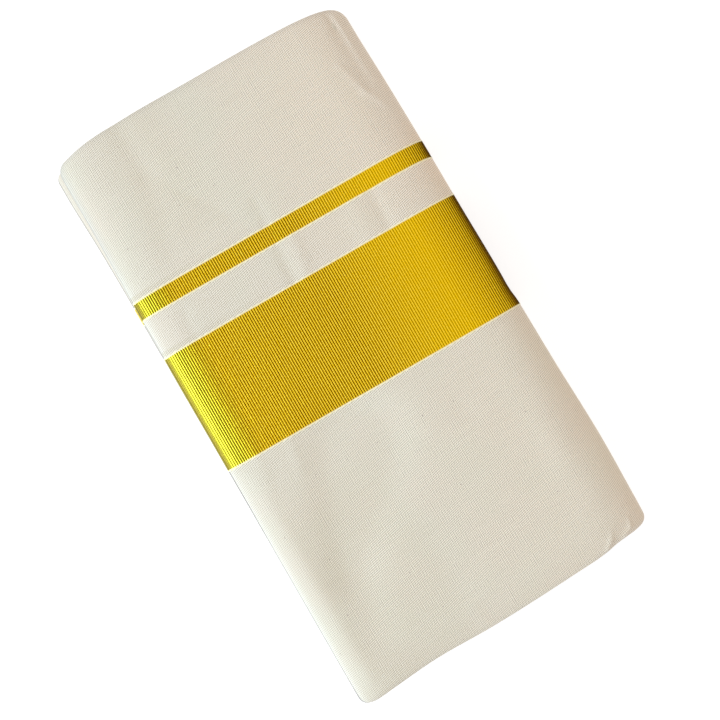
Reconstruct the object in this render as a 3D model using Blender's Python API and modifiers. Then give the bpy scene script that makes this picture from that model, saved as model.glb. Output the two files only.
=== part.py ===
"""A folded dhoti: one length of cotton with two woven gold bands, folded into a flat packet.

The cloth is folded in four across its width and in ten panels along its length, and the stack
of panels is then closed like a book. The fold of the book is the spine, on the +X side. On the
-X side the outermost turn rolls round the edge of each half and goes in between the halves.

Metres, +Z up. The packet rests on Z = 0 with its long side along Y, centred on the origin.
"""

import math

import bmesh
import bpy
import numpy as np

MM = 0.001

# One panel of the stack: four thicknesses of cloth, with the air between them.
PANEL = 1.1 * MM
GAP = 0.3 * MM                  # between the outermost turn and the layers inside it
CREASE_ROOM = 0.2 * MM          # added to it under the creases of the top panel
INSIDE = PANEL + GAP            # how far the hidden layers lie within the outer face
HIDDEN_PANELS = 8               # in each half, between the outermost turn and its rolled lip

# Heights of the closed stack.
SLIT = 0.6 * MM                 # between the lips of the two halves
GROOVE = SLIT / 2 + INSIDE      # what a lip takes up on its side of the slit
MOUTH = 0.4 * MM                # how much the groove round the lips widens outwards
MIDDLE = INSIDE + HIDDEN_PANELS * PANEL + MOUTH + GROOVE     # height of the slit
SETTLED = 0.6 * MM              # how much flatter the upper half lies at its sides
EDGE_HEIGHT = 2 * MIDDLE - SETTLED
CROWN = 1.9 * MM                # how much the top panel rises between its sides
END_CROWN = 0.55                # the share of that rise that is left at the short ends
END_DROOP = 1.4 * MM            # how far the top panel settles at the short ends
DROOP_REACH = 14.0 * MM

# Rounds at the sides, measured along X, and the edges rolled in between the halves.
SPINE_REACH = 13.5 * MM
EDGE_REACH = 8.0 * MM
LIP = 15.0 * MM

# Where the sides run, in mm: the spine, and the -X edge of each half of the stack.
SIDE_LINES = [
    # y, spine, upper edge, lower edge
    (-143, 91.9, -88.1, -90.5),
    (-107, 92.4, -88.1, -90.5),
    (-55, 90.8, -87.8, -90.4),
    (-19, 90.5, -87.5, -90.8),
    (-12, 89.4, -87.5, -91.0),
    (-3, 89.7, -87.5, -91.1),
    (65, 88.4, -87.3, -91.1),
    (117, 87.1, -86.9, -91.6),
    (148, 86.0, -87.0, -92.4),
]

# Where the short ends run, in mm.
END_LINES = [
    # x, near end, far end
    (-80, -165.6, 161.4),
    (-69, -164.3, 163.1),
    (-43, -162.1, 164.4),
    (-8, -162.1, 164.4),
    (41, -160.0, 164.2),
    (61, -158.7, 163.6),
    (73, -157.0, 162.9),
    (83, -156.8, 161.7),
]

# How far each corner's round reaches along X and along Y, in mm.
CORNERS = {
    # (end, side): (along x, along y)
    ("far", "spine"): (6.0, 8.0),
    ("far", "upper"): (5.5, 7.0),
    ("far", "lower"): (3.0, 4.0),
    ("near", "spine"): (4.0, 5.0),
    ("near", "upper"): (4.5, 5.5),
    ("near", "lower"): (4.5, 5.5),
}

# The main creases of the top panel, in mm: each runs between two points and is a ridge, or a
# trough where its height is negative.
CREASES = [
    # x0, y0, x1, y1, width, height
    (-8, 112, -8, 46, 7, -0.35),
    (52, 68, 51, 46, 7, -0.30),
    (80, 150, 76, 110, 6, 0.35),
    (-40, -26, -76, -120, 12, -0.60),
    (6, -26, -53, -100, 13, 0.55),
    (-18, -110, 34, -146, 16, 0.35),
    (66, -147, 74, -153, 5, 0.35),
    (78, -145, 86, -151, 5, 0.35),
]

# How far the folds of the hidden panels sit back from the ends, in mm, from the lowest up. The
# ninth and tenth are the two that the lips of the outermost turn lead into.
PANEL_SETBACKS = [
    # near end, far end
    (0.6, 0.2), (0.1, 0.7), (0.8, 0.3), (0.3, 0.9), (0.9, 0.1), (0.2, 0.5),
    (0.7, 0.8), (0.0, 0.2), (0.5, 0.6), (0.4, 0.9), (0.8, 0.3), (0.1, 0.6),
    (0.6, 0.0), (0.3, 0.8), (0.9, 0.4), (0.2, 0.7), (0.7, 0.1), (0.0, 0.5),
]
VALLEY = 1.1 * MM               # depth of the groove between two folds
RIM_ROUND = 0.5 * MM            # on the outermost turn's ends

# Mesh rows along Y: distances from each end, then even steps between them. The hidden layers
# have no row where their folds are.
TURN_END_ROWS = [0.0, 0.8 * MM, 2.8 * MM, 6.5 * MM, 11.0 * MM, 17.0 * MM]
LAYER_END_ROWS = [0.0, 2.8 * MM, 6.5 * MM, 11.0 * MM, 17.0 * MM]
END_ZONE = 17.0 * MM
MIDDLE_ROWS = 9
TOP_COLUMNS = 16
UNDER_COLUMNS = 8
SPINE_COLUMNS = 10
EDGE_COLUMNS = 8
LIP_COLUMNS = 2

COTTON = (0.80, 0.76, 0.68, 1.0)
COTTON_EDGES = (0.76, 0.71, 0.61, 1.0)


def line_at(table, place, column):
    """The value of one column of a table in mm, at a place in metres along its first column."""
    places = [row[0] for row in table]
    values = [row[column] for row in table]
    return float(np.interp(place / MM, places, values)) * MM


def rows(end_rows):
    """Each row of a mesh along Y as (end, distance from it), or (None, share) between them."""
    near = [("near", d) for d in end_rows]
    far = [("far", d) for d in reversed(end_rows)]
    middle = [(None, (n + 1) / (MIDDLE_ROWS + 1)) for n in range(MIDDLE_ROWS)]
    return near + middle + far


def row_y(row, x, inside=0.0):
    """The Y of a row where it crosses x, for a surface that lies inside the outer face."""
    end, amount = row
    near = line_at(END_LINES, x, 1)
    far = line_at(END_LINES, x, 2)
    if end == "near":
        return near + amount + inside
    if end == "far":
        return far - amount - inside
    first = near + END_ZONE + inside
    last = far - END_ZONE - inside
    return first + (last - first) * amount


def side_x(row, side, inside=0.0):
    """The X of a side at a row, with the rounds of the corners taken off."""
    column = {"spine": 1, "upper": 2, "lower": 3}[side]
    inward = -1 if side == "spine" else 1
    x = line_at(SIDE_LINES, row_y(row, 0.0), column) + inward * inside
    end, distance = row
    if end is None:
        return x
    reach_x, reach_y = (reach * MM - inside for reach in CORNERS[end, side])
    climb = max(0.0, 1 - distance / reach_y)
    return x + inward * reach_x * (1 - math.sqrt(1 - climb * climb))


def crease_height(x, y):
    """The height that the creases add at a place on the top panel."""
    height = 0.0
    for x0, y0, x1, y1, width, rise in CREASES:
        run = np.array([x1 - x0, y1 - y0], dtype=float)
        offset = np.array([x / MM - x0, y / MM - y0])
        share = min(1.0, max(0.0, float(offset @ run) / float(run @ run)))
        away = float(np.linalg.norm(offset - share * run)) / width
        height += rise * math.exp(-2 * away * away)
    return height * MM


def edge_height(row):
    """The height of the top panel where it turns into the rounds at its sides."""
    end, distance = row
    if end is None or distance > DROOP_REACH:
        return EDGE_HEIGHT
    return EDGE_HEIGHT - END_DROOP * (1 - distance / DROOP_REACH) ** 2


def top_height(row, x, y):
    """The height of the top panel's outer face between its rounds."""
    left = side_x(row, "upper") + EDGE_REACH
    right = side_x(row, "spine") - SPINE_REACH
    across = min(1.0, max(-1.0, 2 * (x - left) / (right - left) - 1))
    bulge = 1 - across ** 4
    inland = 1.0 if row[0] is None else min(1.0, row[1] / END_ZONE)
    rise = CROWN * (END_CROWN + (1 - END_CROWN) * inland)
    return edge_height(row) + bulge * (rise + crease_height(x, y))


def arc(centre_x, centre_z, reach, rise, start, stop, steps):
    """Points (x, z) along an elliptic arc, by angles in degrees from +X towards +Z."""
    angles = np.radians(np.linspace(start, stop, steps + 1))
    return [(centre_x + reach * math.cos(a), centre_z + rise * math.sin(a)) for a in angles]


def turn_section(row, inside):
    """A section (x, z) of the outermost turn, at a depth inside its outer face, lip to lip."""
    upper = side_x(row, "upper", inside) + EDGE_REACH - inside
    lower = side_x(row, "lower", inside) + EDGE_REACH - inside
    spine = side_x(row, "spine", inside) - SPINE_REACH + inside
    top = edge_height(row)
    floor = MIDDLE + SLIT / 2
    ceiling = MIDDLE - SLIT / 2
    roll = LIP - EDGE_REACH

    lip_up = [(x, floor + inside) for x in np.linspace(upper + roll, upper, LIP_COLUMNS + 1)]
    edge_up = arc(upper, (top + floor) / 2, EDGE_REACH - inside, (top - floor) / 2 - inside,
                  270, 90, EDGE_COLUMNS)
    panel = [(x, top_height(row, x, row_y(row, x)) - inside)
             for x in np.linspace(upper, spine, TOP_COLUMNS + 1)]
    spine_round = arc(spine, top / 2, SPINE_REACH - inside, top / 2 - inside,
                      90, -90, SPINE_COLUMNS)
    under = [(x, inside) for x in np.linspace(spine, lower, UNDER_COLUMNS + 1)]
    edge_low = arc(lower, ceiling / 2, EDGE_REACH - inside, ceiling / 2 - inside,
                   270, 90, EDGE_COLUMNS)
    lip_low = [(x, ceiling - inside) for x in np.linspace(lower, lower + roll, LIP_COLUMNS + 1)]

    points = lip_up
    for stretch in (edge_up, panel, spine_round, under, edge_low, lip_low):
        points = points + stretch[1:]
    return points


def mapped_block(name, counts, place, colour, roughness):
    """A block divided in columns, rows and levels, with each of its points put in its place."""
    bm = bmesh.new()
    bmesh.ops.create_cube(bm, size=2.0)
    for axis, count in enumerate(counts):
        edges = [e for e in bm.edges if abs(e.verts[0].co[axis] - e.verts[1].co[axis]) > 1.0]
        bmesh.ops.subdivide_edges(bm, edges=edges, cuts=count - 1)
    for vert in bm.verts:
        column, line, level = (round((vert.co[k] + 1) / 2 * counts[k]) for k in range(3))
        vert.co = place(column, line, level)
    return new_object(name, bm, colour, roughness)


def build_outer_turn():
    """The outermost turn: a wall one panel thick, rolled in at its two -X edges."""
    stations = rows(TURN_END_ROWS)
    faces = [[turn_section(row, inside) for row in stations] for inside in (PANEL, 0.0)]

    def place(column, line, face):
        x, z = faces[face][line][column]
        return x, row_y(stations[line], x, 0.0 if face else PANEL), z

    counts = (len(faces[0][0]) - 1, len(stations) - 1, 1)
    turn = mapped_block("outer_turn", counts, place, COTTON, 0.85)
    rim = turn.modifiers.new("rim", "BEVEL")
    rim.width = RIM_ROUND
    rim.segments = 2
    rim.limit_method = "ANGLE"
    rim.angle_limit = math.radians(60)


def ridges(zone, first_panel, panels):
    """The levels of a zone of the stack: a valley, then a crest and a valley for each panel."""
    levels = []
    for step in range(2 * panels + 1):
        panel = first_panel + min(step // 2, panels - 1)
        depth = VALLEY if step % 2 == 0 else 0.0
        levels.append((zone, step / (2 * panels), panel, depth))
    return levels


def layer_levels():
    """The levels of the hidden layers from the lowest up: (zone, share of it, panel, depth)."""
    return (ridges("lower", 0, HIDDEN_PANELS)
            + ridges("groove", HIDDEN_PANELS, 2)
            + ridges("upper", HIDDEN_PANELS + 2, HIDDEN_PANELS))


def layer_span(zone, top):
    """The lowest and highest Z of a zone of the hidden layers, under a top of this height."""
    if zone == "lower":
        return INSIDE, MIDDLE - GROOVE - MOUTH
    if zone == "upper":
        return MIDDLE + GROOVE + MOUTH, top - INSIDE - CREASE_ROOM
    return MIDDLE - GROOVE, MIDDLE + GROOVE


def layer_left(row, zone, share):
    """The X of the hidden layers' -X side: round at each half, set back behind the lips."""
    if zone == "groove":
        return max(side_x(row, "upper"), side_x(row, "lower")) + LIP + 2 * GAP
    upward = abs(2 * share - 1)
    reach = EDGE_REACH - INSIDE
    return side_x(row, zone, INSIDE) + reach * (1 - math.sqrt(1 - upward * upward))


def layer_right(row, z):
    """The X of the hidden layers' spine side at a height, under the spine's round."""
    top = edge_height(row)
    rise = top / 2 - INSIDE
    upward = min(1.0, abs(z - top / 2) / rise)
    reach = SPINE_REACH - INSIDE
    return side_x(row, "spine", INSIDE) - reach * (1 - math.sqrt(1 - upward * upward))


def layer_point(row, share_x, level):
    """A point on the hidden layers, from its row, its share of the width and its level."""
    zone, share, panel, depth = level
    low, high = layer_span(zone, edge_height(row))
    left = layer_left(row, zone, share)
    right = layer_right(row, low + (high - low) * share)
    x = left + (right - left) * share_x
    y = row_y(row, x, INSIDE)
    if row == ("near", 0.0):
        y += PANEL_SETBACKS[panel][0] * MM + depth
    if row == ("far", 0.0):
        y -= PANEL_SETBACKS[panel][1] * MM + depth
    low, high = layer_span(zone, top_height(row, x, row_y(row, x)))
    return x, y, low + (high - low) * share


def build_hidden_layers():
    """The panels inside the outermost turn, as a block whose ends are folded ridge by ridge."""
    stations = rows(LAYER_END_ROWS)
    levels = layer_levels()

    def place(column, line, level):
        return layer_point(stations[line], column / TOP_COLUMNS, levels[level])

    counts = (TOP_COLUMNS, len(stations) - 1, len(levels) - 1)
    mapped_block("hidden_layers", counts, place, COTTON_EDGES, 0.9)


def new_object(name, bm, colour, roughness):
    """Put a mesh in the dhoti's collection, with a material of its own."""
    mesh = bpy.data.meshes.new(name)
    bm.to_mesh(mesh)
    bm.free()
    mesh.shade_smooth()
    mesh.set_sharp_from_angle(angle=math.radians(40))
    material = bpy.data.materials.new(name)
    material.use_nodes = True
    finish = material.node_tree.nodes["Principled BSDF"]
    finish.inputs["Base Color"].default_value = colour
    finish.inputs["Roughness"].default_value = roughness
    finish.inputs["Metallic"].default_value = 0.0
    mesh.materials.append(material)
    cloth = bpy.data.objects.new(name, mesh)
    packet.objects.link(cloth)
    return cloth


for leftover in list(bpy.data.objects):
    bpy.data.objects.remove(leftover, do_unlink=True)

packet = bpy.data.collections.new("folded_dhoti")
bpy.context.scene.collection.children.link(packet)

build_outer_turn()
build_hidden_layers()
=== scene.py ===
"""A folded dhoti of unbleached cotton with a narrow and a wide gold band, as a flat packet."""

import math
import random

import bmesh
import bpy
import numpy as np
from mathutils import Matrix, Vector


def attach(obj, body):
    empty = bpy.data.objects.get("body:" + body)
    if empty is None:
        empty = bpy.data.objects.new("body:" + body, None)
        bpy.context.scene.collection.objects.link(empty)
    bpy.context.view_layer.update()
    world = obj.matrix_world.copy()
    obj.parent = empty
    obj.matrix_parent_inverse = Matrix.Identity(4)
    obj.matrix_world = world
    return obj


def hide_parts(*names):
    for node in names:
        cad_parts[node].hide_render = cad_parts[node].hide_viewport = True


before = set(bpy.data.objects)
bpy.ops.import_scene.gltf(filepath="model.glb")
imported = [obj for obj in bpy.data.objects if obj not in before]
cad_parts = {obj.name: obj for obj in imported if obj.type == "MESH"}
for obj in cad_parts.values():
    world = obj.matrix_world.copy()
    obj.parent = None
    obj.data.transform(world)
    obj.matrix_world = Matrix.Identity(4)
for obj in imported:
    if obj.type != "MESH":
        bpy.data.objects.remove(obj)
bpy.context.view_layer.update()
MM = 0.001


# ------------------------------------------------------------------------------------- the view
# The packet is seen from straight above, near the middle of its upper face, with its long side
# running from the upper left to the lower right of the picture.

VIEW_ABOVE_TOP = 0.435          # metres from the packet's upper face to the eye
VIEW_SPAN = 0.3735              # metres of that face that the square picture takes in
VIEW_OVER = (0.0012, -0.0067)
VIEW_TURN = math.radians(-29.9)
TOP_FACE = 0.0255

view_camera = bpy.data.cameras.new("view")
view_camera.sensor_width = 36.0
view_camera.lens = view_camera.sensor_width * VIEW_ABOVE_TOP / VIEW_SPAN
eye = bpy.data.objects.new("view", view_camera)
eye.location = (*VIEW_OVER, TOP_FACE + VIEW_ABOVE_TOP)
eye.rotation_euler = (0.0, 0.0, VIEW_TURN)
bpy.context.scene.collection.objects.link(eye)
bpy.context.scene.camera = eye
bpy.context.scene.view_settings.view_transform = "Standard"


# ----------------------------------------------------------------- the outermost turn of cloth
# The cloth that shows is one turn round the whole stack: the upper panel, the round of the last
# fold (the spine, at +X), the lower panel, and at -X a roll round the edge of each half of the
# stack. It is plain-woven cotton, and at the short ends it is folded under, as every panel is.

# Where the sides run, in mm: the spine, and the -X edge of each half of the stack.
SIDE_LINES = [
    # y, spine, upper edge, lower edge
    (-165, 91.6, -88.1, -90.5),
    (-143, 91.9, -88.1, -90.5),
    (-107, 92.3, -88.1, -90.5),
    (-55, 90.7, -88.1, -90.4),
    (-25, 90.1, -88.1, -90.6),
    (-21, 90.0, -88.1, -90.4),
    (-14, 89.2, -88.1, -90.4),
    (-3, 89.2, -88.1, -90.5),
    (41, 88.5, -88.1, -90.6),
    (49, 88.4, -88.0, -91.0),
    (65, 88.2, -88.0, -91.1),
    (117, 87.1, -87.3, -91.6),
    (148, 86.1, -87.3, -92.5),
    (165, 85.9, -87.3, -92.6),
]

# Where the short ends run, in mm.
END_LINES = [
    # x, near end, far end
    (-92, -165.6, 160.4),
    (-80, -165.6, 161.4),
    (-69, -164.3, 163.1),
    (-43, -162.1, 164.4),
    (-8, -162.1, 164.4),
    (41, -160.0, 164.2),
    (61, -158.7, 163.6),
    (73, -157.0, 162.9),
    (83, -156.8, 161.7),
    (92, -156.5, 160.5),
]

# How far each corner's round reaches along X and along Y, in mm.
CORNERS = {
    ("far", "spine"): (6.0, 8.0),
    ("far", "upper"): (5.5, 7.0),
    ("far", "lower"): (3.0, 4.0),
    ("near", "spine"): (4.0, 5.0),
    ("near", "upper"): (4.5, 5.5),
    ("near", "lower"): (4.5, 5.5),
}

# Heights and reaches of the stack in mm, as the solid inside it has them.
PANEL = 1.1
MIDDLE = 12.3
SLIT = 0.6
EDGE_HEIGHT = 24.0
CROWN = 1.9
END_CROWN = 0.55
END_DROOP = 1.4
DROOP_REACH = 14.0
END_BEND = 1.2                  # how far the last few threads at an end bend down
BEND_REACH = 3.4
SPINE_REACH = 13.5
EDGE_REACH = 8.0
SHOULDERS = (24.0, 32.0)        # how far the upper panel slopes, from the edge and from the spine
SHOULDER_BEND = 2 / 3
SHOULDER_CROWDING = 1.25        # above 1, its columns lie closer where it is steep
CROWN_LOSS = (0.15, 2)          # the share of the crown lost at the slopes, and the loss's power
FACE_DEPTH = 3.0                # how far under EDGE_HEIGHT the panel's own face can lie
LIP = 15.0
END_ZONE = 17.0
STRAIGHT_FROM = 60.0            # how far inland from the end zones the threads lie straight
CLOTH_INSET = 0.08              # how far the cloth's face lies within the solid's
CLOTH_WALL = 0.25
FOLD_RADIUS = PANEL / 2
FOLD_RETURN = 5.0
FOLD_STEPS = 6
FOLD_TURNED = 3.0               # mm of cloth for each mm that the fold goes in

# The creases of the upper panel, in mm: ridges, or troughs where the height is negative. Each
# may have a flat middle, whose half-width is given at both ends, between two slopes.
CREASES = [
    # x0, y0, x1, y1, flat0, flat1, slope, height
    (-5, 92, -8, 44, 0, 0, 4, -0.40),
    (3, 68, 0, 46, 0, 0, 5, 0.40),
    (50, 66, 49, 44, 0, 0, 4.5, -0.50),
    (39, 68, 37, 46, 0, 0, 8, 0.35),
    (-66, 60, -67, 48, 0, 0, 5, -0.35),
    (79.5, 158, 79.8, 140, 0, 0, 1.8, 0.60),
    (79.8, 140, 80, 122, 0, 0, 3, 0.35),
    (75.8, 159, 76.3, 150, 0, 0, 2, -0.70),
    (76, 150, 78, 118, 0, 0, 4.5, -0.60),
    (68, 131, 73, 114, 0, 0, 3, 0.45),
    (73, 114, 79.5, 103, 0, 0, 2.8, 0.60),
    (-48, 160, -47, 132, 0, 0, 9, -0.45),
    (-47, 132, -56, 92, 0, 0, 9, -0.35),
    (-41, 124, -20, 92, 0, 0, 3.5, -0.25),
    (-77, -34, -77, -150, 0, 0, 7.5, 0.60),
    (-22, -46, -56, -98, 16, 2, 19, -2.0),
    (-56, -98, -64, -135, 2, 0, 16, -0.9),
    (-50, -22, -54, -42, 0, 0, 4, 0.30),
    (-70, -24, -72, -40, 0, 0, 4, 0.25),
    (35, -50, 36, -60, 0, 0, 8, -0.25),
    (79, -30, 71, -95, 0, 0, 15, 0.55),
    (71, -95, 73, -125, 0, 0, 15, 0.50),
    (-80, -75, -80, -150, 0, 0, 32, 1.00),
    (-12, -146, -10, -158, 0, 0, 3, 0.25),
    (63.5, -157, 67.5, -153.5, 0, 0, 1.3, 0.85),
    (67.5, -153.5, 70, -150, 0, 0, 1.4, 0.60),
    (69, -156, 76, -151, 0, 0, 2.5, -0.20),
    (75, -155.5, 80.5, -152.5, 0, 0, 1.3, 0.95),
    (80.5, -152.5, 81.5, -148.5, 0, 0, 1.4, 0.75),
]

# Columns of each stretch of a section: lip, roll, slope, upper panel, slope, spine, lower panel,
# roll and lip.
CLOTH_COLUMNS = (3, 8, 26, 76, 44, 12, 8, 28, 3)
MIDDLE_ROWS = 180
END_ROWS = (0.9, 1.4, 2.0, 2.8, 3.8, 5.0, 6.5, 8.0, 9.6, 11.3, 13.1, 15.0)  # mm from an end
BAND_DIP = 0.24                 # how much lower the ground of a gold band lies
BAND_STEP = 0.2                 # from a band's border to the rows of cloth at its sides


def ramp(value, low, high):
    """0 up to one value, 1 from another on, and even in between."""
    return np.clip((value - low) / (high - low), 0, 1)


def line_at(table, place, column):
    """A smooth line through one column of a table, at places along its first column, in mm."""
    knots = np.array([row[0] for row in table], dtype=float)
    values = np.array([row[column] for row in table], dtype=float)
    slopes = np.gradient(values, knots)
    place = np.clip(place, knots[0], knots[-1])
    k = np.clip(np.searchsorted(knots, place) - 1, 0, len(knots) - 2)
    step = knots[k + 1] - knots[k]
    t = (place - knots[k]) / step
    ease = t * t * (3 - 2 * t)
    return (values[k] + (values[k + 1] - values[k]) * ease
            + step * (slopes[k] * t * (1 - t) ** 2 - slopes[k + 1] * t * t * (1 - t)))


def row_y(row, x):
    """The Y of a row of the cloth where it crosses x. A row is (end, distance) or (None, y)."""
    end, amount = row
    near, far = line_at(END_LINES, x, 1), line_at(END_LINES, x, 2)
    if end == "near":
        return near + amount
    if end == "far":
        return far - amount
    first, last = line_at(END_LINES, 0.0, 1), line_at(END_LINES, 0.0, 2)
    near_pull = max(0.0, 1 - (amount - first - END_ZONE) / STRAIGHT_FROM) ** 2
    far_pull = max(0.0, 1 - (last - END_ZONE - amount) / STRAIGHT_FROM) ** 2
    return amount + (near - first) * near_pull + (far - last) * far_pull


def side_x(row, side, inside):
    """The X of a side at a row, with the rounds of the corners taken off."""
    column = {"spine": 1, "upper": 2, "lower": 3}[side]
    inward = -1 if side == "spine" else 1
    x = float(line_at(SIDE_LINES, row_y(row, 0.0), column)) + inward * inside
    end, distance = row
    if end is None:
        return x
    reach_x, reach_y = (reach - inside for reach in CORNERS[end, side])
    climb = min(1.0, max(0.0, 1 - (distance - inside) / reach_y))
    return x + inward * reach_x * (1 - math.sqrt(1 - climb * climb))


def edge_height(row):
    """The height of the upper panel where it turns into the rounds at its sides."""
    end, distance = row
    if end is None or distance > DROOP_REACH:
        return EDGE_HEIGHT
    bend = min(1.0, max(0.0, 1 - distance / BEND_REACH))
    return (EDGE_HEIGHT - END_DROOP * (1 - distance / DROOP_REACH) ** 2
            - END_BEND * (1 - math.sqrt(1 - bend * bend)))


def crease_height(x, y):
    """The height that the creases add at places on the upper panel."""
    height = np.zeros_like(x)
    for x0, y0, x1, y1, flat0, flat1, slope, rise in CREASES:
        run = np.array([x1 - x0, y1 - y0], dtype=float)
        share = np.clip(((x - x0) * run[0] + (y - y0) * run[1]) / (run @ run), 0, 1)
        away = np.hypot(x - x0 - share * run[0], y - y0 - share * run[1])
        down = np.maximum(0.0, away - flat0 - (flat1 - flat0) * share) / slope
        height += rise * np.exp(-2 * down * down)
    return height


def panel_height(row, x, left, right, loss, power):
    """The height of the upper panel at x, without its slopes. It bulges between two places, where
    it has lost a share of its crown. The loss grows by a power of the way there."""
    across = np.clip(2 * (x - left) / (right - left) - 1, -1, 1)
    inland = 1.0 if row[0] is None else min(1.0, max(0.0, row[1]) / END_ZONE)
    rise = CROWN * (END_CROWN + (1 - END_CROWN) * inland) + crease_height(x, row_y(row, x))
    return edge_height(row) + rise * (1 - loss * np.abs(across) ** power)


def arc(centre_x, centre_z, reach, rise, start, stop, steps):
    """Points on an elliptic arc, by angles in degrees from +X towards +Z."""
    angles = np.radians(np.linspace(start, stop, steps + 1))
    return np.stack([centre_x + reach * np.cos(angles), centre_z + rise * np.sin(angles)], 1)


def level(x_from, x_to, z, steps):
    """Points on a level stretch of a section."""
    x = np.linspace(x_from, x_to, steps + 1)
    return np.stack([x, np.full_like(x, z)], 1)


def turn_section(row, inside, columns):
    """A section (x, z) of the turn from its upper lip to its lower one, in mm."""
    upper, lower, spine = (side_x(row, side, inside) for side in ("upper", "lower", "spine"))
    left, right = upper + SHOULDERS[0] - inside, spine - SHOULDERS[1] + inside
    top = edge_height(row)
    floor, ceiling = MIDDLE + SLIT / 2, MIDDLE - SLIT / 2
    roll = EDGE_REACH - inside
    back = SPINE_REACH - inside
    edge_middle, spine_middle = (top + floor) / 2, top / 2

    def slope(start, end, middle, steps):
        """From the panel, at start, down to where a side is widest, at the height of middle."""
        turn = np.pi / 2 * (1 - np.linspace(1, 0, steps + 1) ** SHOULDER_CROWDING)
        x = start + (end - start) * np.sin(turn)
        high = panel_height(row, x, left, right, *CROWN_LOSS) - inside
        z = middle + (high - middle) * np.maximum(0.0, np.cos(turn)) ** SHOULDER_BEND
        return np.stack([x, z], 1)

    flat = np.linspace(left, right, columns[3] + 1)
    stretches = [
        level(upper + LIP - inside, upper + roll, floor + inside, columns[0]),
        arc(upper + roll, edge_middle, roll, edge_middle - floor - inside, 270, 180, columns[1]),
        slope(left, upper, edge_middle, columns[2])[::-1],
        np.stack([flat, panel_height(row, flat, left, right, *CROWN_LOSS) - inside], 1),
        slope(right, spine, spine_middle, columns[4]),
        arc(spine - back, spine_middle, back, spine_middle - inside, 0, -90, columns[5]),
        level(spine - back, lower + roll, inside, columns[6]),
        arc(lower + roll, ceiling / 2, roll, ceiling / 2 - inside, 270, 90, columns[7]),
        level(lower + roll, lower + LIP - inside, ceiling - inside, columns[8]),
    ]
    return np.concatenate([stretches[0]] + [stretch[1:] for stretch in stretches[1:]])


def run_along(section):
    """The length along a section at each of its points, from the middle of the upper panel."""
    steps = np.hypot(*np.diff(section, axis=0).T)
    run = np.concatenate([[0.0], np.cumsum(steps)])
    panel = section[:, 1] > EDGE_HEIGHT - FACE_DEPTH
    return run - np.interp(0.0, section[panel, 0], run[panel])


def net_mesh(name, points, weave, painted_shade=None):
    """A mesh through a net of points in mm, with the weave's own map (run and length in mm) and,
    where it is given, the share of painted shade at each point, from 0 to 1."""
    lines, columns = points.shape[:2]
    bm = bmesh.new()
    bmesh.ops.create_grid(bm, x_segments=columns - 1, y_segments=lines - 1, size=1.0)
    mesh = bpy.data.meshes.new(name)
    bm.to_mesh(mesh)
    bm.free()
    place = np.empty(len(mesh.vertices) * 3)
    mesh.vertices.foreach_get("co", place)
    place = place.reshape(-1, 3)
    column = np.rint((place[:, 0] + 1) / 2 * (columns - 1)).astype(int)
    line = np.rint((place[:, 1] + 1) / 2 * (lines - 1)).astype(int)
    mesh.vertices.foreach_set("co", (points[line, column] * MM).ravel())
    corners = np.empty(len(mesh.loops), dtype=int)
    mesh.loops.foreach_get("vertex_index", corners)
    mesh.uv_layers.new(name="weave").data.foreach_set("uv", weave[line, column][corners].ravel())
    if painted_shade is not None:
        shares = mesh.attributes.new("painted_shade", "FLOAT", "POINT")
        shares.data.foreach_set("value", painted_shade[line, column].astype(float))
    mesh.shade_smooth()
    mesh.update()
    return mesh


def new_piece(name, mesh, finish):
    """An object at the origin that rides with the packet, with the finish it is given."""
    piece = bpy.data.objects.new(name, mesh)
    bpy.context.scene.collection.objects.link(piece)
    mesh.materials.append(finish.owner)
    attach(piece, "root")
    return piece


def give_wall(piece, thickness):
    """Thickens a sheet inwards, in mm."""
    wall = piece.modifiers.new("wall", "SOLIDIFY")
    wall.thickness = thickness * MM
    wall.offset = -1


class Reading:
    """A number that varies over a surface. Arithmetic on it adds Math nodes."""

    def __init__(self, finish, socket):
        self.finish = finish
        self.socket = socket

    def maths(self, operation, *values, clamp=False):
        return self.finish.node("ShaderNodeMath", {"operation": operation, "use_clamp": clamp},
                                dict(enumerate(values)))

    def __add__(self, other):
        return self.maths("ADD", self, other)

    def __sub__(self, other):
        return self.maths("SUBTRACT", self, other)

    def __rsub__(self, other):
        return self.maths("SUBTRACT", other, self)

    def __mul__(self, other):
        return self.maths("MULTIPLY", self, other)

    def wave(self, pitch, start=0.0):
        """A sine from -1 to 1 with a pitch in the reading's own units."""
        return self.maths("SINE", (self - start) * (2 * math.pi / pitch))

    def step(self, low, high):
        """0 up to one value, 1 from another on, and even in between."""
        return self.maths("MULTIPLY", self - low, 1 / (high - low), clamp=True)

    def within(self, low, high, soft):
        """1 between two values and 0 outside them, with soft steps."""
        return self.step(low - soft / 2, low + soft / 2) * self.step(high + soft / 2,
                                                                     high - soft / 2)


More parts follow.
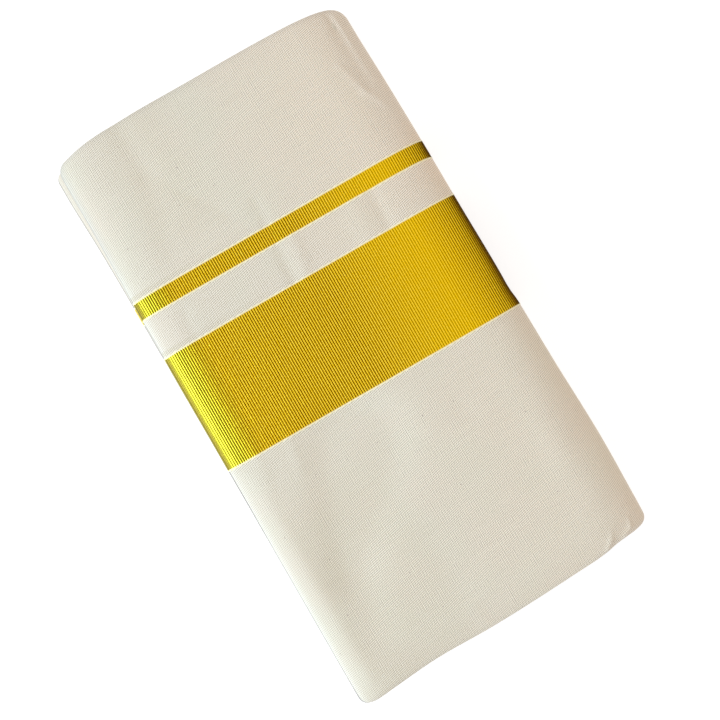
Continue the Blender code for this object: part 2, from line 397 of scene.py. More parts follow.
class Finish:
    """A material or a world under construction, on the shader that it starts with."""

    def __init__(self, owner, constants):
        owner.use_nodes = True
        self.owner = owner
        self.tree = owner.node_tree
        self.shader = next(n for n in self.tree.nodes if not n.name.endswith("Output"))
        for socket, value in constants.items():
            self.set(self.shader.inputs[socket], value)

    def set(self, socket, value):
        if isinstance(value, Reading):
            self.tree.links.new(value.socket, socket)
        else:
            socket.default_value = value

    def node(self, kind, settings, sockets, output=0):
        """Adds a node: its settings first, then the values or links of its sockets."""
        node = self.tree.nodes.new(kind)
        for key, value in settings.items():
            setattr(node, key, value)
        for socket, value in sockets.items():
            self.set(node.inputs[socket], value)
        return Reading(self, node.outputs[output])

    def weave_map(self):
        """The weave's own map, and how far along the turn and the packet it says, in mm."""
        weave = self.node("ShaderNodeUVMap", {"uv_map": "weave"}, {})
        run = self.node("ShaderNodeSeparateXYZ", {}, {0: weave}, "X")
        length = self.node("ShaderNodeSeparateXYZ", {}, {0: weave}, "Y")
        return weave, run, length

    def painted_shade(self):
        """The share of painted shade on the surface, as its mesh says."""
        return self.node("ShaderNodeAttribute", {"attribute_name": "painted_shade"}, {}, "Fac")

    def noise(self, weave, per_run, per_length, detail=0.0):
        """Noise over the weave, from 0 to 1, with its scale per mm each way."""
        scaled = self.node("ShaderNodeVectorMath", {"operation": "MULTIPLY"},
                           {0: weave, 1: (per_run, per_length, 1.0)})
        return self.node("ShaderNodeTexNoise", {"noise_dimensions": "2D"},
                         {"Vector": scaled, "Scale": 1.0, "Detail": detail}, "Fac")

    def blend(self, share, first, second):
        """A colour between two, by a share."""
        return self.node("ShaderNodeMix", {"data_type": "RGBA"},
                         {0: share, 6: first, 7: second}, 2)

    def bump(self, height, distance):
        """The shading of a relief, from its height in units of a distance in mm."""
        return self.node("ShaderNodeBump", {}, {"Height": height, "Distance": distance * MM},
                         "Normal")


# The weave: threads run along the packet and round it, each uneven in its own way. The depths
# are shares of its relief, and the scales of its noises are per mm of the turn and the packet.
THREAD_PITCH = (0.70, 1.0)      # along the turn, along the packet
THREAD_DEPTH = (0.12, 0.45)
THREAD_SKEW = 0.26              # how far the cross threads run askew
THREAD_RELIEF = 0.05
SLUB_PITCH = 1.08
SLUB_DEPTH = 0.95
SLUBS = (0.4, 0.03)             # the long, thick stretches of a thread
KNOTS = (0.4, 0.6)              # the short ones
CROSS_SLUBS = (0.05, 2.0)
CROSS_SLUB_DEPTH = 0.10
GRAIN = (2.3, 2.3)
GRAIN_DEPTH = 0.7
CRISP = (-80.0, 84.0, 24.0)     # the run where the weave shows fully: from, to, softness
CRISP_LEAST = 0.4

# The cotton's tones, and where they change, in mm of the run round the turn and of the length.
# painted highlight for the threads' crests; inside, the light end of the folds' mottle
CREAM_LIGHT = (0.98, 0.95, 0.82, 1.0)
CREAM = (0.775, 0.725, 0.58, 1.0)
# painted shade for the threads' hollows; inside, the dark end of the folds' mottle
CREAM_SHADE = (0.47, 0.43, 0.325, 1.0)
CREAM_ROSY = (0.80, 0.715, 0.575, 1.0)
CREAM_PALE = (0.755, 0.735, 0.575, 1.0)
# painted shade: a warmer tone towards the spine
CREAM_WARM_SHADE = (0.93, 0.755, 0.57, 1.0)
# painted light: a paler, cooler tone at the -X edge and on the spine near the far end
CREAM_LIGHT_TINT = (0.88, 0.88, 0.80, 1.0)
CREAM_DULL = (0.66, 0.60, 0.43, 1.0)
PATCHES = (0.035, 0.03, 1.0)    # the scales each way and the detail
PATCH_RANGE = (0.35, 0.65)
PATCH_SHARE = 0.5
WARM_RUN = (-10.0, 90.0)
WARM_LENGTH = (20.0, 60.0)
WARM_LEAST = 0.45               # the share of warmth before that length
UNDERSIDE_RUN = (112.0, 200.0)
UNDERSIDE_COOL = 0.6
PALE_EDGE_RUN = (-83.0, -92.0)
PALE_EDGE_SHARE = 0.5
SPINE_END_RUN = (74.0, 115.0, 14.0)
SPINE_END_LENGTH = (80.0, 95.0)
SPINE_END_SHARE = 0.3
DULL_PARTS = [
    # run from, to, softness, length from, to, share
    (-80.0, -15.0, 14.0, -40.0, -70.0, 0.45),
    (-60.0, -26.0, 16.0, 84.0, 100.0, 0.40),
]
DULL_STRIP = (0.9, 3.3, 0.5)    # beyond each gold band: from, to, softness
DULL_STRIP_RUN = (-5.0, -75.0)
DULL_STRIP_SHARE = 0.8
FLECK = (0.25, 0.16, 0.13, 1.0)
FLECK_SPACING = 22.0
FLECK_RIM = (0.015, 0.008)      # how far a fleck reaches, in spacings
FLECK_CHANCE = (0.62, 0.64)
FLECK_SHARE = 0.8

# Painted shade greys the rolled -X edges, mostly along one line of threads on each of them.
PAINTED_SHADE_GREY = (0.24, 0.215, 0.195, 1.0)
STANDS_OUT = 2.7                # how far the lower edge stands out where it gets painted shade too
EDGE_SHADE = {False: (0.0, 1.0), True: (0.7, 0.5)}   # lower and upper, by whether it stands out
EDGE_SHADE_START = (1.0, 1.3)    # heights over a roll's middle
EDGE_SHADE_STOP = (3.2, 2.8)
FACE_SHADE = 0.17
FACE_SHOWS = (3.1, 4.1)         # how far the lower edge stands out where its face gets painted shade
FACE_REACH = (5.0, 2.0)         # how far in from the upper edge that painted shade goes
# painted shade over the last mm of each end, more at the far end
END_SHADE = {"near": 0.03, "far": 0.105}
END_SHADE_REACH = (4.0, 1.0)

NARROW_BAND = (67.3, 77.7)
WIDE_BAND = (-23.1, 44.7)


def cotton_relief(cotton, weave, run, length):
    """The threads' height, from 0 to 1."""
    slubs = cotton.noise(weave, *SLUBS)
    cross_slubs = cotton.noise(weave, *CROSS_SLUBS)
    grain = cotton.noise(weave, *GRAIN)
    knots = cotton.noise(weave, *KNOTS)
    across = length - run * THREAD_SKEW
    crisp = run.within(*CRISP) * (1.0 - CRISP_LEAST) + CRISP_LEAST
    threads = (run.wave(THREAD_PITCH[0]) * THREAD_DEPTH[0]
               + across.wave(THREAD_PITCH[1]) * THREAD_DEPTH[1]
               + (slubs + knots - 1.0) * run.wave(SLUB_PITCH) * SLUB_DEPTH
               + (cross_slubs - 0.5) * CROSS_SLUB_DEPTH
               + (grain - 0.5) * GRAIN_DEPTH)
    return threads * crisp + 0.5


def cotton_ground(cotton, weave, run, length):
    """The cotton's tone between light and shade, over the whole turn."""
    patches = cotton.noise(weave, *PATCHES).step(*PATCH_RANGE)
    ground = cotton.blend(PATCH_SHARE, cotton.blend(patches, CREAM_ROSY, CREAM_PALE), CREAM)
    # Painted shade: warmer towards the spine, less so on the underside and towards the near end.
    warm_shade = ((run.step(*WARM_RUN) - run.step(*UNDERSIDE_RUN) * UNDERSIDE_COOL)
              * (length.step(*WARM_LENGTH) * (1.0 - WARM_LEAST) + WARM_LEAST))
    ground = cotton.blend(warm_shade, ground, CREAM_WARM_SHADE)
    # Painted light: paler and cooler at the -X edge and on the spine near the far end.
    spine_end = run.within(*SPINE_END_RUN) * length.step(*SPINE_END_LENGTH)
    pale = run.step(*PALE_EDGE_RUN) * PALE_EDGE_SHARE + spine_end * SPINE_END_SHARE
    ground = cotton.blend(pale, ground, CREAM_LIGHT_TINT)
    dull = 0.0
    for run_from, run_to, soft, length_from, length_to, share in DULL_PARTS:
        part = run.within(run_from, run_to, soft) * length.step(length_from, length_to)
        dull = part * share + dull
    for band in (NARROW_BAND, WIDE_BAND):
        beyond = length - band[1]
        dull = beyond.within(*DULL_STRIP) * run.step(*DULL_STRIP_RUN) * DULL_STRIP_SHARE + dull
    return cotton.blend(dull, ground, CREAM_DULL)


def cotton_finish():
    """Unbleached plain-woven cotton, by the weave's own map."""
    cotton = Finish(bpy.data.materials.new("unbleached cotton"),
                    {"Roughness": 0.88, "Specular IOR Level": 0.25, "Sheen Weight": 0.12,
                     "Sheen Roughness": 0.6, "Sheen Tint": (1.0, 0.97, 0.9, 1.0)})
    weave, run, length = cotton.weave_map()
    relief = cotton_relief(cotton, weave, run, length)
    ground = cotton_ground(cotton, weave, run, length)
    # Painted highlight on the threads' crests and painted shade in their hollows.
    lit = cotton.blend(relief.step(0.5, 1.0), ground, CREAM_LIGHT)
    shaded = cotton.blend(relief.step(0.5, 0.0), lit, CREAM_SHADE)
    # Painted shade on the rolled -X edges, on the face beside them and at the ends.
    painted_shade = cotton.blend(cotton.painted_shade(), shaded, PAINTED_SHADE_GREY)

    cells = cotton.node("ShaderNodeVectorMath", {"operation": "SCALE"},
                        {0: weave, "Scale": 1 / FLECK_SPACING})
    place = {"Vector": cells, "Scale": 1.0}
    near = cotton.node("ShaderNodeTexVoronoi", {"voronoi_dimensions": "2D"}, place, "Distance")
    chosen = cotton.node("ShaderNodeTexVoronoi", {"voronoi_dimensions": "2D"}, place, "Color")
    fleck = near.step(*FLECK_RIM) * chosen.step(*FLECK_CHANCE) * FLECK_SHARE

    cotton.set(cotton.shader.inputs["Base Color"], cotton.blend(fleck, painted_shade, FLECK))
    cotton.set(cotton.shader.inputs["Normal"], cotton.bump(relief, THREAD_RELIEF))
    return cotton


def fold_rows():
    """The rows of one end, from its return to the end zone: (distance, inside), in mm."""
    angles = np.radians(np.linspace(180, 0, FOLD_STEPS + 1))
    fold = [(FOLD_RADIUS * (1 - math.sin(a)), FOLD_RADIUS * (1 - math.cos(a))) for a in angles]
    inland = [(distance, 0.0) for distance in END_ROWS]
    back = [(FOLD_RETURN, PANEL), (FOLD_RETURN / 2, PANEL)]
    return back + fold + inland


def edge_shade(above):
    """Painted shade on a rolled edge, by the height over its middle: only a few threads get it.
    """
    return ramp(above, *EDGE_SHADE_START) * ramp(above, *EDGE_SHADE_STOP)


def cloth_shade(row, x, z):
    """The share of painted shade on the cloth at places on a row, from 0 to 1."""
    upper_x, lower_x = (side_x(row, side, CLOTH_INSET) for side in ("upper", "lower"))
    lower_middle = (MIDDLE - SLIT / 2) / 2
    upper_middle = (edge_height(row) + MIDDLE + SLIT / 2) / 2
    lower_share, upper_share = EDGE_SHADE[upper_x - lower_x > STANDS_OUT]
    at_side = (x < 0) * (lower_share * edge_shade(z - lower_middle)
                         + upper_share * edge_shade(z - upper_middle))
    on_face = (FACE_SHADE * ramp(upper_x - lower_x, *FACE_SHOWS) * ramp(x - upper_x, *FACE_REACH)
               * (z > lower_middle))
    end, distance = row
    at_end = END_SHADE[end] * ramp(distance, *END_SHADE_REACH) if end else 0.0
    return np.maximum(np.maximum(at_side, on_face), at_end)


def turn_net(stations, columns):
    """The net of points of the turn at its rows, each (row, inside), with the weave's map over it
    and its share of painted shade."""
    points, weave, painted_shade = [], [], []
    for row, inside in stations:
        end, distance = row
        in_band = end is None and any(low < distance < high
                                      for low, high in (NARROW_BAND, WIDE_BAND))
        dip = BAND_DIP if in_band else 0.0
        section = turn_section(row, inside + CLOTH_INSET + dip, columns)
        x, z = section.T
        y = row_y(row, x)
        turned = {"near": inside, "far": -inside, None: 0.0}[end] * FOLD_TURNED
        points.append(np.stack([x, y, z], 1))
        weave.append(np.stack([run_along(section), y - turned], 1))
        painted_shade.append(cloth_shade(row, x, z))
    return np.array(points), np.array(weave), np.array(painted_shade)


first_y = float(line_at(END_LINES, 0.0, 1)) + END_ZONE
last_y = float(line_at(END_LINES, 0.0, 2)) - END_ZONE
middle_ys = np.linspace(first_y, last_y, MIDDLE_ROWS + 1)
band_ys = [y + side for y in (*NARROW_BAND, *WIDE_BAND) for side in (-BAND_STEP, BAND_STEP)]
cloth_rows = ([(("near", d), inside) for d, inside in fold_rows()]
              + [((None, y), 0.0) for y in sorted([*middle_ys, *band_ys])]
              + [(("far", d), inside) for d, inside in reversed(fold_rows())])
cloth_points, cloth_weave, cloth_shade_shares = turn_net(cloth_rows, CLOTH_COLUMNS)
outer_cloth = new_piece("outer_cloth",
                        net_mesh("outer_cloth", cloth_points, cloth_weave, cloth_shade_shares),
                        cotton_finish())
give_wall(outer_cloth, CLOTH_WALL)
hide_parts("outer_turn")


# ----------------------------------------------------------------------------- the gold bands
# Two bands of gold thread are woven into the cotton near the middle of its width. The gold
# floats over cords that run along the packet, so that the bands are finely ribbed.

RIB_PITCH = 1.36
RIB_HEIGHT = 0.07
RIB_TALLNESS = (0.9, 0.2)       # shares of that height: the least, and what chance adds
RIB_DRAWS = 1000                # one for each rib, half of them each way from a run of 0
FLOOR_CLEAR = 0.02
LIP_CLEAR = 0.3
BAND_WALL = 0.1
BAND_BORDER = (0.0, 0.12, 0.45)  # rows of mesh that close a band off at its edges
NARROW_ROWS = 5
WIDE_ROWS = 17
NARROW_SEED = 3
WIDE_SEED = 5
COLUMNS_PER_RIB = 6
FINE_COLUMNS = (20, 60, 150, 300, 200, 90, 120, 90, 20)  # of the section that a band follows

GOLD = (0.94, 0.64, 0.0, 1.0)
# painted highlight on the ribs' crests
GOLD_HIGHLIGHT = (1.0, 0.85, 0.12, 1.0)
# painted shade in the grooves, and in those on the slope to the -X edge
GOLD_GROOVE_SHADE = (0.18, 0.09, 0.0, 1.0)
GOLD_EDGE_GROOVE_SHADE = (0.10, 0.075, 0.0, 1.0)
# painted shade on the spine
GOLD_SPINE_SHADE = (0.55, 0.215, 0.0, 1.0)
# painted shade near the upper half's -X edge
GOLD_EDGE_SHADE = (0.125, 0.083, 0.010, 1.0)
GOLD_SELVEDGE = (0.95, 0.80, 0.35, 1.0)
# painted highlight tint on the slope down to the rolled -X edge
GOLD_HIGHLIGHT_TINT = (0.56, 0.48, 0.028, 1.0)
GOLD_ROUGHNESS = (0.24, 0.12)   # the least, and what the grain adds
GOLD_GRAIN = (1.2, 1.2)
GOLD_GRAIN_DEPTH = 1.1
CROSSING_DEPTH = 0.55           # of the cross threads that hold the gold down
CROSSING_RELIEF = 0.03
PAIR_DEPTH = 0.08               # of the difference between one rib and the next
CREST_RANGE = (0.3, 1.0)
CREST_SHARE = 1.2
LIT_RANGE = (0.35, 1.75)
GROOVE_RANGE = (0.25, -0.55)
GROOVE_CROSSING = 0.8
GROOVE_DEPTHS = [
    # run from, to, what the painted shade in the grooves changes by there
    (-80.0, -84.5, -0.8),
    (5.0, 41.0, -0.36),
    (41.0, 60.0, -0.11),
    (60.0, 80.0, 0.4),
]
EDGE_RUN = (-64.0, -78.0)       # where the upper panel slopes down to the rolled edge
EDGE_CALM = 0.6                 # how much of the crossings is lost there
SPINE_RUN = (20.0, 60.0)
SPINE_CALM = 0.2
# how much of the painted highlight is lost towards the spine
SPINE_HIGHLIGHT_LOSS = 0.35
# where the painted shade of the spine starts and ends, in mm of the run
SPINE_SHADE_FROM = (83.0, 92.5)
SPINE_SHADE_TO = (112.0, 122.0)
SELVEDGE = 0.6                  # the pale rim of a band
SELVEDGE_SOFT = 0.3
SELVEDGE_SHARE = 0.6

# Painted shade darkens the gold near the upper half's edge, in mm from that edge.
GOLD_SHADE_REACH = (5.5, 2.2)
GOLD_SHADE_LEAST = 0.55             # at the very edge
GOLD_SHADE_GROWTH = 0.3             # for each mm inwards
GOLD_SHADE_SHARE = 0.95


def section_at(y, lift, runs):
    """Points on the turn at a Y, lifted outwards, at given lengths along its run, in mm."""
    fine = turn_section((None, y), CLOTH_INSET, FINE_COLUMNS)
    along = run_along(fine)
    tangent = np.gradient(fine, along, axis=0)
    outward = np.stack([-tangent[:, 1], tangent[:, 0]], 1)
    x, z, out_x, out_z = (np.interp(runs, along, v) for v in (*fine.T, *outward.T))
    lifted = np.maximum(z + out_z * lift, FLOOR_CLEAR)
    return np.stack([x + out_x * lift, np.full_like(runs, y), lifted], 1)


def run_limits(y):
    """How far the turn runs each way at a Y, less a little at its lips."""
    along = run_along(turn_section((None, y), CLOTH_INSET, CLOTH_COLUMNS))
    return along[0] + LIP_CLEAR, along[-1] - LIP_CLEAR


def gold_finish(low, high):
    """Gold thread over the cords, held down by the cross threads, between two lengths."""
    gold = Finish(bpy.data.materials.new("gold thread"),
                  {"Metallic": 1.0, "Specular IOR Level": 0.3})
    weave, run, length = gold.weave_map()
    rib = run.wave(RIB_PITCH, -RIB_PITCH / 4)
    pairs = run.wave(2 * RIB_PITCH, -RIB_PITCH / 2)
    grain = gold.noise(weave, *GOLD_GRAIN)
    across = length - run * THREAD_SKEW
    at_edge = run.step(*EDGE_RUN)
    to_spine = run.step(*SPINE_RUN)
    threads = across.wave(THREAD_PITCH[1]) * (CROSSING_DEPTH - to_spine * SPINE_CALM)
    uneven = (grain - 0.5) * GOLD_GRAIN_DEPTH + pairs * PAIR_DEPTH
    crossing = (threads + uneven) * (1.0 - at_edge * EDGE_CALM)

    # Painted highlight on the ribs' crests and the cross threads, less of it towards the spine.
    crest = rib.step(*CREST_RANGE) * CREST_SHARE + crossing
    lit = crest.step(*LIT_RANGE) * (1.0 - to_spine * SPINE_HIGHLIGHT_LOSS)
    # A painted highlight tint, lemon, on the slope down to the rolled -X edge.
    core = gold.blend(at_edge, gold.blend(lit, GOLD, GOLD_HIGHLIGHT), GOLD_HIGHLIGHT_TINT)
    # Painted shade on the spine, in amber.
    core = gold.blend(run.step(*SPINE_SHADE_FROM) - run.step(*SPINE_SHADE_TO), core, GOLD_SPINE_SHADE)
    # Painted shade in the grooves between the ribs, olive on the slope to the -X edge, deeper
    # towards the spine.
    groove = gold.blend(at_edge, GOLD_GROOVE_SHADE, GOLD_EDGE_GROOVE_SHADE)
    depth = 1.0
    for run_from, run_to, change in GROOVE_DEPTHS:
        depth = run.step(run_from, run_to) * change + depth
    groove_shade_share = (rib + crossing * GROOVE_CROSSING).step(*GROOVE_RANGE) * depth
    ribbed = gold.blend(groove_shade_share, core, groove)
    # Painted shade near the upper half's -X edge.
    edge_shaded_gold = gold.blend(gold.painted_shade() * GOLD_SHADE_SHARE, ribbed, GOLD_EDGE_SHADE)
    rim = 1.0 - length.within(low + SELVEDGE, high - SELVEDGE, SELVEDGE_SOFT)

    gold.set(gold.shader.inputs["Base Color"],
             gold.blend(rim * SELVEDGE_SHARE, edge_shaded_gold, GOLD_SELVEDGE))
    gold.set(gold.shader.inputs["Roughness"], grain * GOLD_ROUGHNESS[1] + GOLD_ROUGHNESS[0])
    gold.set(gold.shader.inputs["Normal"], gold.bump(crossing * 0.5 + 0.5, CROSSING_RELIEF))
    return gold


def rib_heights(runs, seed):
    """The height of the ribs over the cloth at each run, a little uneven from rib to rib."""
    draw = random.Random(seed)
    tallness = [RIB_TALLNESS[0] + RIB_TALLNESS[1] * draw.random() for _ in range(RIB_DRAWS)]
    share = np.array([tallness[int(round(run / RIB_PITCH)) + RIB_DRAWS // 2] for run in runs])
    return RIB_HEIGHT * share * np.cos(2 * math.pi * runs / RIB_PITCH)


def make_band(name, low, high, rows, seed):
    """A gold band between two lines across the packet, all round the turn, and its run."""
    start, stop = run_limits((low + high) / 2)
    step = RIB_PITCH / COLUMNS_PER_RIB
    runs = np.arange(math.ceil(start / step), math.floor(stop / step)) * step
    lift = rib_heights(runs, seed)
    points, weave, painted_shade = [], [], []
    for y in [*(low + border for border in BAND_BORDER),
              *np.linspace(low, high, rows)[1:-1],
              *(high - border for border in reversed(BAND_BORDER))]:
        points.append(section_at(y, lift, runs))
        weave.append(np.stack([runs, np.full_like(runs, y)], 1))
        # Painted shade on the gold near the upper half's -X edge.
        inset = points[-1][:, 0] - side_x((None, y), "upper", 0.0)
        inward = np.clip(GOLD_SHADE_LEAST + inset * GOLD_SHADE_GROWTH, 0, 1)
        painted_shade.append(ramp(inset, *GOLD_SHADE_REACH) * inward * (points[-1][:, 2] > MIDDLE))
    band = new_piece(name, net_mesh(name, *(np.array(net) for net in (points, weave, painted_shade))),
                     gold_finish(low, high))
    give_wall(band, BAND_WALL)
    return band, float(runs[-1] - runs[0])


narrow_gold, narrow_run = make_band("narrow_gold", *NARROW_BAND, NARROW_ROWS, NARROW_SEED)
wide_gold, wide_run = make_band("wide_gold", *WIDE_BAND, WIDE_ROWS, WIDE_SEED)


# ----------------------------------------------------------------- the threads beside the gold
# Each band is finished on both sides by a few thick, pale cotton threads laid in close together,
# which show as one fine bright line and cover the ends of the ribs.

EDGE_WIDTH = 0.75
EDGE_RISE = 0.18
EDGE_OVERLAP = 0.35             # how far the threads lie over the gold
EDGE_STEP = 1.0
EDGE_PROFILE = 6
EDGE_PALE = (1.0, 0.98, 0.70, 1.0)
EDGE_DEEP = (1.0, 0.90, 0.52, 1.0)
EDGE_PATCHES = (0.8, 2.0, 2.0)  # the scales each way and the detail
EDGE_RANGE = (0.25, 0.75)
TWIST_PITCH = 0.9
TWIST_LEAN = 0.8
TWIST_SHARE = 0.2
TWIST_RELIEF = 0.06


def edge_finish():
    """Thick, soft cotton thread, with its twist."""
    thread = Finish(bpy.data.materials.new("edge thread"),
                    {"Roughness": 0.7, "Specular IOR Level": 0.3, "Sheen Weight": 0.1})
    weave, run, length = thread.weave_map()
    twist = (run + length * TWIST_LEAN).wave(TWIST_PITCH)
    patches = thread.noise(weave, *EDGE_PATCHES)
    share = (twist * TWIST_SHARE + patches).step(*EDGE_RANGE)
    thread.set(thread.shader.inputs["Base Color"], thread.blend(share, EDGE_DEEP, EDGE_PALE))
    thread.set(thread.shader.inputs["Normal"], thread.bump(twist * 0.5 + 0.5, TWIST_RELIEF))
    return thread


def make_edge(name, y, finish):
    """The pale threads along one side of a band."""
    start, stop = run_limits(y)
    runs = np.arange(start, stop, EDGE_STEP)
    points, weave = [], []
    for turn in np.linspace(-math.pi / 2, math.pi / 2, EDGE_PROFILE + 1):
        across = y + EDGE_WIDTH / 2 * math.sin(turn)
        lift = np.full_like(runs, EDGE_RISE * math.cos(turn))
        points.append(section_at(across, lift, runs))
        weave.append(np.stack([runs, np.full_like(runs, across)], 1))
    edge = new_piece(name, net_mesh(name, np.array(points), np.array(weave)), finish)
    give_wall(edge, BAND_WALL)
    return edge


edge_thread = edge_finish()
band_edges = [make_edge(name, y, edge_thread) for name, y in (
    ("narrow_edge_near", NARROW_BAND[0] - EDGE_WIDTH / 2 + EDGE_OVERLAP),
    ("narrow_edge_far", NARROW_BAND[1] + EDGE_WIDTH / 2 - EDGE_OVERLAP),
    ("wide_edge_near", WIDE_BAND[0] - EDGE_WIDTH / 2 + EDGE_OVERLAP),
    ("wide_edge_far", WIDE_BAND[1] + EDGE_WIDTH / 2 - EDGE_OVERLAP),
)]


# ------------------------------------------------------------------------- the layers inside
# Inside the outermost turn lie the other panels, each of them the cloth folded in four. At the
# far end each shows one round fold; at the near end it shows two, or a fold and the selvedges.

GAP = 0.3
INSIDE = PANEL + GAP
CREASE_ROOM = 0.35              # for the creases of the turn over the uppermost panel
HIDDEN_PANELS = 8               # in each half of the stack
GROOVE_PANELS = 2               # beside the slit, behind the lips of the turn
GROOVE = SLIT / 2 + INSIDE
MOUTH = 0.4
LAYER_STEPS = 12                # levels of mesh to each panel
LAYER_COLUMNS = 110
LAYER_ROWS = 8
LAYER_END_ROWS = (INSIDE, 4.0, 10.0)
LAYER_CROWN_LOSS = (1.0, 4)
SHARP_FROM = math.radians(60)
FOLD_DEPTH = 1.7
FOLD_ROUND = 0.2                # the share of a panel's thickness where its near end rounds off
PLY_DEPTH = 0.7
PLY_SHARPNESS = 8
FOLD_SWAY = 0.45
FOLD_SWAY_RATE = 0.02           # radians for each mm
FOLD_GRAIN = (900.0, 900.0, 1800.0)
FOLD_GRAIN_SHARE = 0.7
FOLD_PATCHES = 40.0
FOLD_TONES = (0.3, 0.7)
FOLD_RELIEF = 0.12

# How far the folds of the hidden panels sit back from the ends, in mm, from the lowest up.
PANEL_SETBACKS = [
    # near end, far end
    (0.6, 0.2), (0.1, 0.7), (0.8, 0.3), (0.3, 0.9), (0.9, 0.1), (0.2, 0.5),
    (0.7, 0.8), (0.0, 0.2), (0.5, 0.6), (0.4, 0.9), (0.8, 0.3), (0.1, 0.6),
    (0.6, 0.0), (0.3, 0.8), (0.9, 0.4), (0.2, 0.7), (0.7, 0.1), (0.0, 0.5),
]


def layer_levels():
    """The levels of the layers from the lowest up: (zone, share of it, panel, share of it)."""
    zones = {"lower": HIDDEN_PANELS, "groove": GROOVE_PANELS, "upper": HIDDEN_PANELS}
    levels = []
    first = 0
    for zone, panels in zones.items():
        for step in range(panels * LAYER_STEPS + 1):
            panel = min(step // LAYER_STEPS, panels - 1)
            levels.append((zone, step / (panels * LAYER_STEPS), first + panel,
                           step / LAYER_STEPS - panel))
        first += panels
    return levels


def layer_depth(end, panel, share, x):
    """How far the edge of a panel sits back from an end, at a share of its thickness."""
    draw = random.Random(panel * 2 + (end == "far"))
    sway = sum(FOLD_SWAY / n * np.sin(FOLD_SWAY_RATE * n * x + draw.uniform(0, 2 * math.pi))
               for n in (1, 2, 3))
    valley = FOLD_DEPTH * (1 - math.sin(math.pi * share)) ** 2
    if end == "near":
        valley = (FOLD_DEPTH * max(0.0, 1 - min(share, 1 - share) / FOLD_ROUND) ** 2
                  + PLY_DEPTH * math.cos(2 * math.pi * share) ** PLY_SHARPNESS)
    setback = PANEL_SETBACKS[panel][1 if end == "far" else 0]
    return setback + valley + (sway + FOLD_SWAY) / 2


def layer_line(row, zone_level):
    """The points of one row of the layers at one level, from -X to the spine, in mm."""
    zone, share, panel, share_of_panel = zone_level
    top = edge_height(row)
    low, high = {
        "lower": (INSIDE, MIDDLE - GROOVE - MOUTH),
        "groove": (MIDDLE - GROOVE, MIDDLE + GROOVE),
        "upper": (MIDDLE + GROOVE + MOUTH, top - INSIDE - CREASE_ROOM),
    }[zone]
    z = low + (high - low) * share
    if zone == "groove":
        left = max(side_x(row, "upper", 0.0), side_x(row, "lower", 0.0)) + LIP + 2 * GAP
    else:
        reach = EDGE_REACH - INSIDE
        left = side_x(row, zone, INSIDE) + reach * (1 - math.sqrt(1 - (2 * share - 1) ** 2))
    reach, rise = SPINE_REACH - INSIDE, top / 2 - INSIDE
    upward = min(1.0, abs(z - top / 2) / rise)
    right = side_x(row, "spine", INSIDE) - reach * (1 - math.sqrt(1 - upward * upward))
    x = np.linspace(left, right, LAYER_COLUMNS + 1)
    y = row_y(row, x)
    height = np.full_like(x, z)
    if zone == "upper":
        inner = (side_x(row, "upper", 0.0) + EDGE_REACH, side_x(row, "spine", 0.0) - SPINE_REACH)
        height += share * (panel_height(row, x, *inner, *LAYER_CROWN_LOSS) - top)
    end, distance = row
    if distance == INSIDE:
        depth = layer_depth(end, panel, share_of_panel, x)
        y = y + depth if end == "near" else y - depth
    return np.stack([x, y, height], 1)


def make_layers():
    """The panels inside the outermost turn: one block with a fold to each panel at its ends."""
    rows = ([("near", distance) for distance in LAYER_END_ROWS]
            + [(None, y) for y in np.linspace(first_y, last_y, LAYER_ROWS)]
            + [("far", distance) for distance in reversed(LAYER_END_ROWS)])
    levels = layer_levels()
    net = np.array([[layer_line(row, at) for at in levels] for row in rows])
    counts = (LAYER_COLUMNS, len(rows) - 1, len(levels) - 1)
    bm = bmesh.new()
    bmesh.ops.create_cube(bm, size=2.0)
    for axis, count in enumerate(counts):
        edges = [edge for edge in bm.edges
                 if abs(edge.verts[0].co[axis] - edge.verts[1].co[axis]) > 1.0]
        bmesh.ops.subdivide_edges(bm, edges=edges, cuts=count - 1)
    for vert in bm.verts:
        column, line, at = (round((vert.co[k] + 1) / 2 * counts[k]) for k in range(3))
        vert.co = Vector(net[line, at, column]) * MM
    mesh = bpy.data.meshes.new("inner_layers")
    bm.to_mesh(mesh)
    bm.free()
    mesh.shade_smooth()
    mesh.set_sharp_from_angle(angle=SHARP_FROM)
    return mesh


def layers_finish():
    """The same cotton, seen along its folds."""
    layers = Finish(bpy.data.materials.new("cotton folds"),
                    {"Roughness": 0.9, "Specular IOR Level": 0.2, "Sheen Weight": 0.1})
    place = layers.node("ShaderNodeTexCoord", {}, {}, "Object")
    fine = layers.node("ShaderNodeVectorMath", {"operation": "MULTIPLY"},
                       {0: place, 1: FOLD_GRAIN})
    grain = layers.node("ShaderNodeTexNoise", {},
                        {"Vector": fine, "Scale": 1.0, "Detail": 2.0}, "Fac")
    patches = layers.node("ShaderNodeTexNoise", {},
                          {"Vector": place, "Scale": FOLD_PATCHES, "Detail": 1.0}, "Fac")
    mottled = grain * FOLD_GRAIN_SHARE + patches * (1.0 - FOLD_GRAIN_SHARE)
    tone = layers.blend(mottled.step(*FOLD_TONES), CREAM_SHADE, CREAM_LIGHT)
    layers.set(layers.shader.inputs["Base Color"], layers.blend(0.5, tone, CREAM))
    layers.set(layers.shader.inputs["Normal"], layers.bump(grain, FOLD_RELIEF))
    return layers


inner_layers = new_piece("inner_layers", make_layers(), layers_finish())
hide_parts("hidden_layers")


# ---------------------------------------------------------------------------- floor and light
# A pale studio floor, a warm even fill from all round, and one large, cooler light low on the
# packet's -X side, which brightens that edge and leaves the spine in soft shade.

FLOOR_SIZE = 6.0
FLOOR_GREY = (0.4, 0.4, 0.4, 1.0)
FLOOR_GLOW = 0.75
BACKDROP_RADIUS = 2.9
BACKDROP_SEGMENTS = (48, 24)

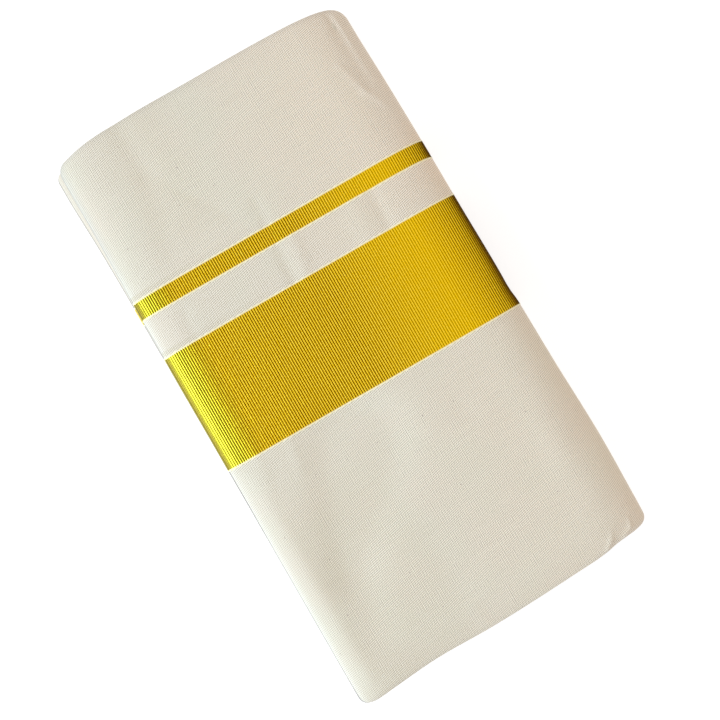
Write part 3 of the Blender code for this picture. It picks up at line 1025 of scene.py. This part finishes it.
# The fill from high up, and the low one with its two tints, at the packet's ends and under its -X
# edge. Each range holds cosines from an axis, which are squared for the ends.
FILL_HIGH = (0.96, 0.857, 0.755, 1.0)
FILL_LOW = (0.14, 0.115, 0.09, 1.0)
FILL_ENDS = (0.32, 0.38, 0.66, 1.0)
FILL_UNDER = (1.5, 1.6, 1.3, 1.0)
HIGH_AXIS = Vector((0.19, 0.0, 0.97)).normalized()
HIGH_RANGE = (0.26, 0.86)
ENDS_AXIS = (0.0, 1.0, 0.0)
ENDS_RANGE = (0.15, 0.7)
UNDER_AXIS = Vector((-0.8, 0.0, -0.6))
UNDER_RANGE = (0.3, 0.9)
KEY_COLOUR = (0.79, 1.0, 1.27)
KEY_POWER = 16.0
KEY_SIZE = 1.0
KEY_DISTANCE = 1.5
KEY_HEIGHT = math.radians(27)
KEY_SWING = math.radians(3)     # from the packet's -X towards its far end


def stage_piece(name, bm, finish):
    """A piece of the stage, from the mesh under construction that it takes up."""
    mesh = bpy.data.meshes.new(name)
    bm.to_mesh(mesh)
    bm.free()
    mesh.materials.append(finish.owner)
    piece = bpy.data.objects.new(name, mesh)
    bpy.context.scene.collection.objects.link(piece)
    return piece


paint = Finish(bpy.data.materials.new("studio floor"),
               {"Base Color": FLOOR_GREY, "Roughness": 0.9, "Specular IOR Level": 0.1,
                "Emission Color": (1, 1, 1, 1), "Emission Strength": FLOOR_GLOW})
bm = bmesh.new()
bmesh.ops.create_grid(bm, x_segments=1, y_segments=1, size=FLOOR_SIZE / 2)
studio_floor = stage_piece("floor", bm, paint)
studio_floor.visible_glossy = False

# The backdrop only hides the room from the camera. The light passes through it.
bm = bmesh.new()
bmesh.ops.create_uvsphere(bm, u_segments=BACKDROP_SEGMENTS[0], v_segments=BACKDROP_SEGMENTS[1],
                          radius=BACKDROP_RADIUS)
backdrop = stage_piece("backdrop", bm, paint)
backdrop.data.shade_smooth()
backdrop.visible_diffuse = backdrop.visible_glossy = backdrop.visible_shadow = False

room = Finish(bpy.data.worlds.new("room"), {})
bpy.context.scene.world = room.owner
direction = room.node("ShaderNodeTexCoord", {}, {}, "Generated")
upward, endward, underward = (
    room.node("ShaderNodeVectorMath", {"operation": "DOT_PRODUCT"},
              {0: direction, 1: axis}, "Value")
    for axis in (HIGH_AXIS, ENDS_AXIS, UNDER_AXIS))
low_fill = room.blend((endward * endward).step(*ENDS_RANGE), FILL_LOW, FILL_ENDS)
low_fill = room.blend(underward.step(*UNDER_RANGE), low_fill, FILL_UNDER)
room.set(room.shader.inputs["Color"],
         room.blend(upward.step(*HIGH_RANGE), low_fill, FILL_HIGH))

key = bpy.data.lights.new("key", "AREA")
key.shape = "DISK"
key.size = KEY_SIZE
key.energy = KEY_POWER
key.color = KEY_COLOUR
key_lamp = bpy.data.objects.new("key", key)
level_part = math.cos(KEY_HEIGHT)
toward = Vector((-level_part * math.cos(KEY_SWING), level_part * math.sin(KEY_SWING),
                 math.sin(KEY_HEIGHT)))
key_lamp.location = toward * KEY_DISTANCE
key_lamp.rotation_euler = toward.to_track_quat("Z", "Y").to_euler()
bpy.context.scene.collection.objects.link(key_lamp)
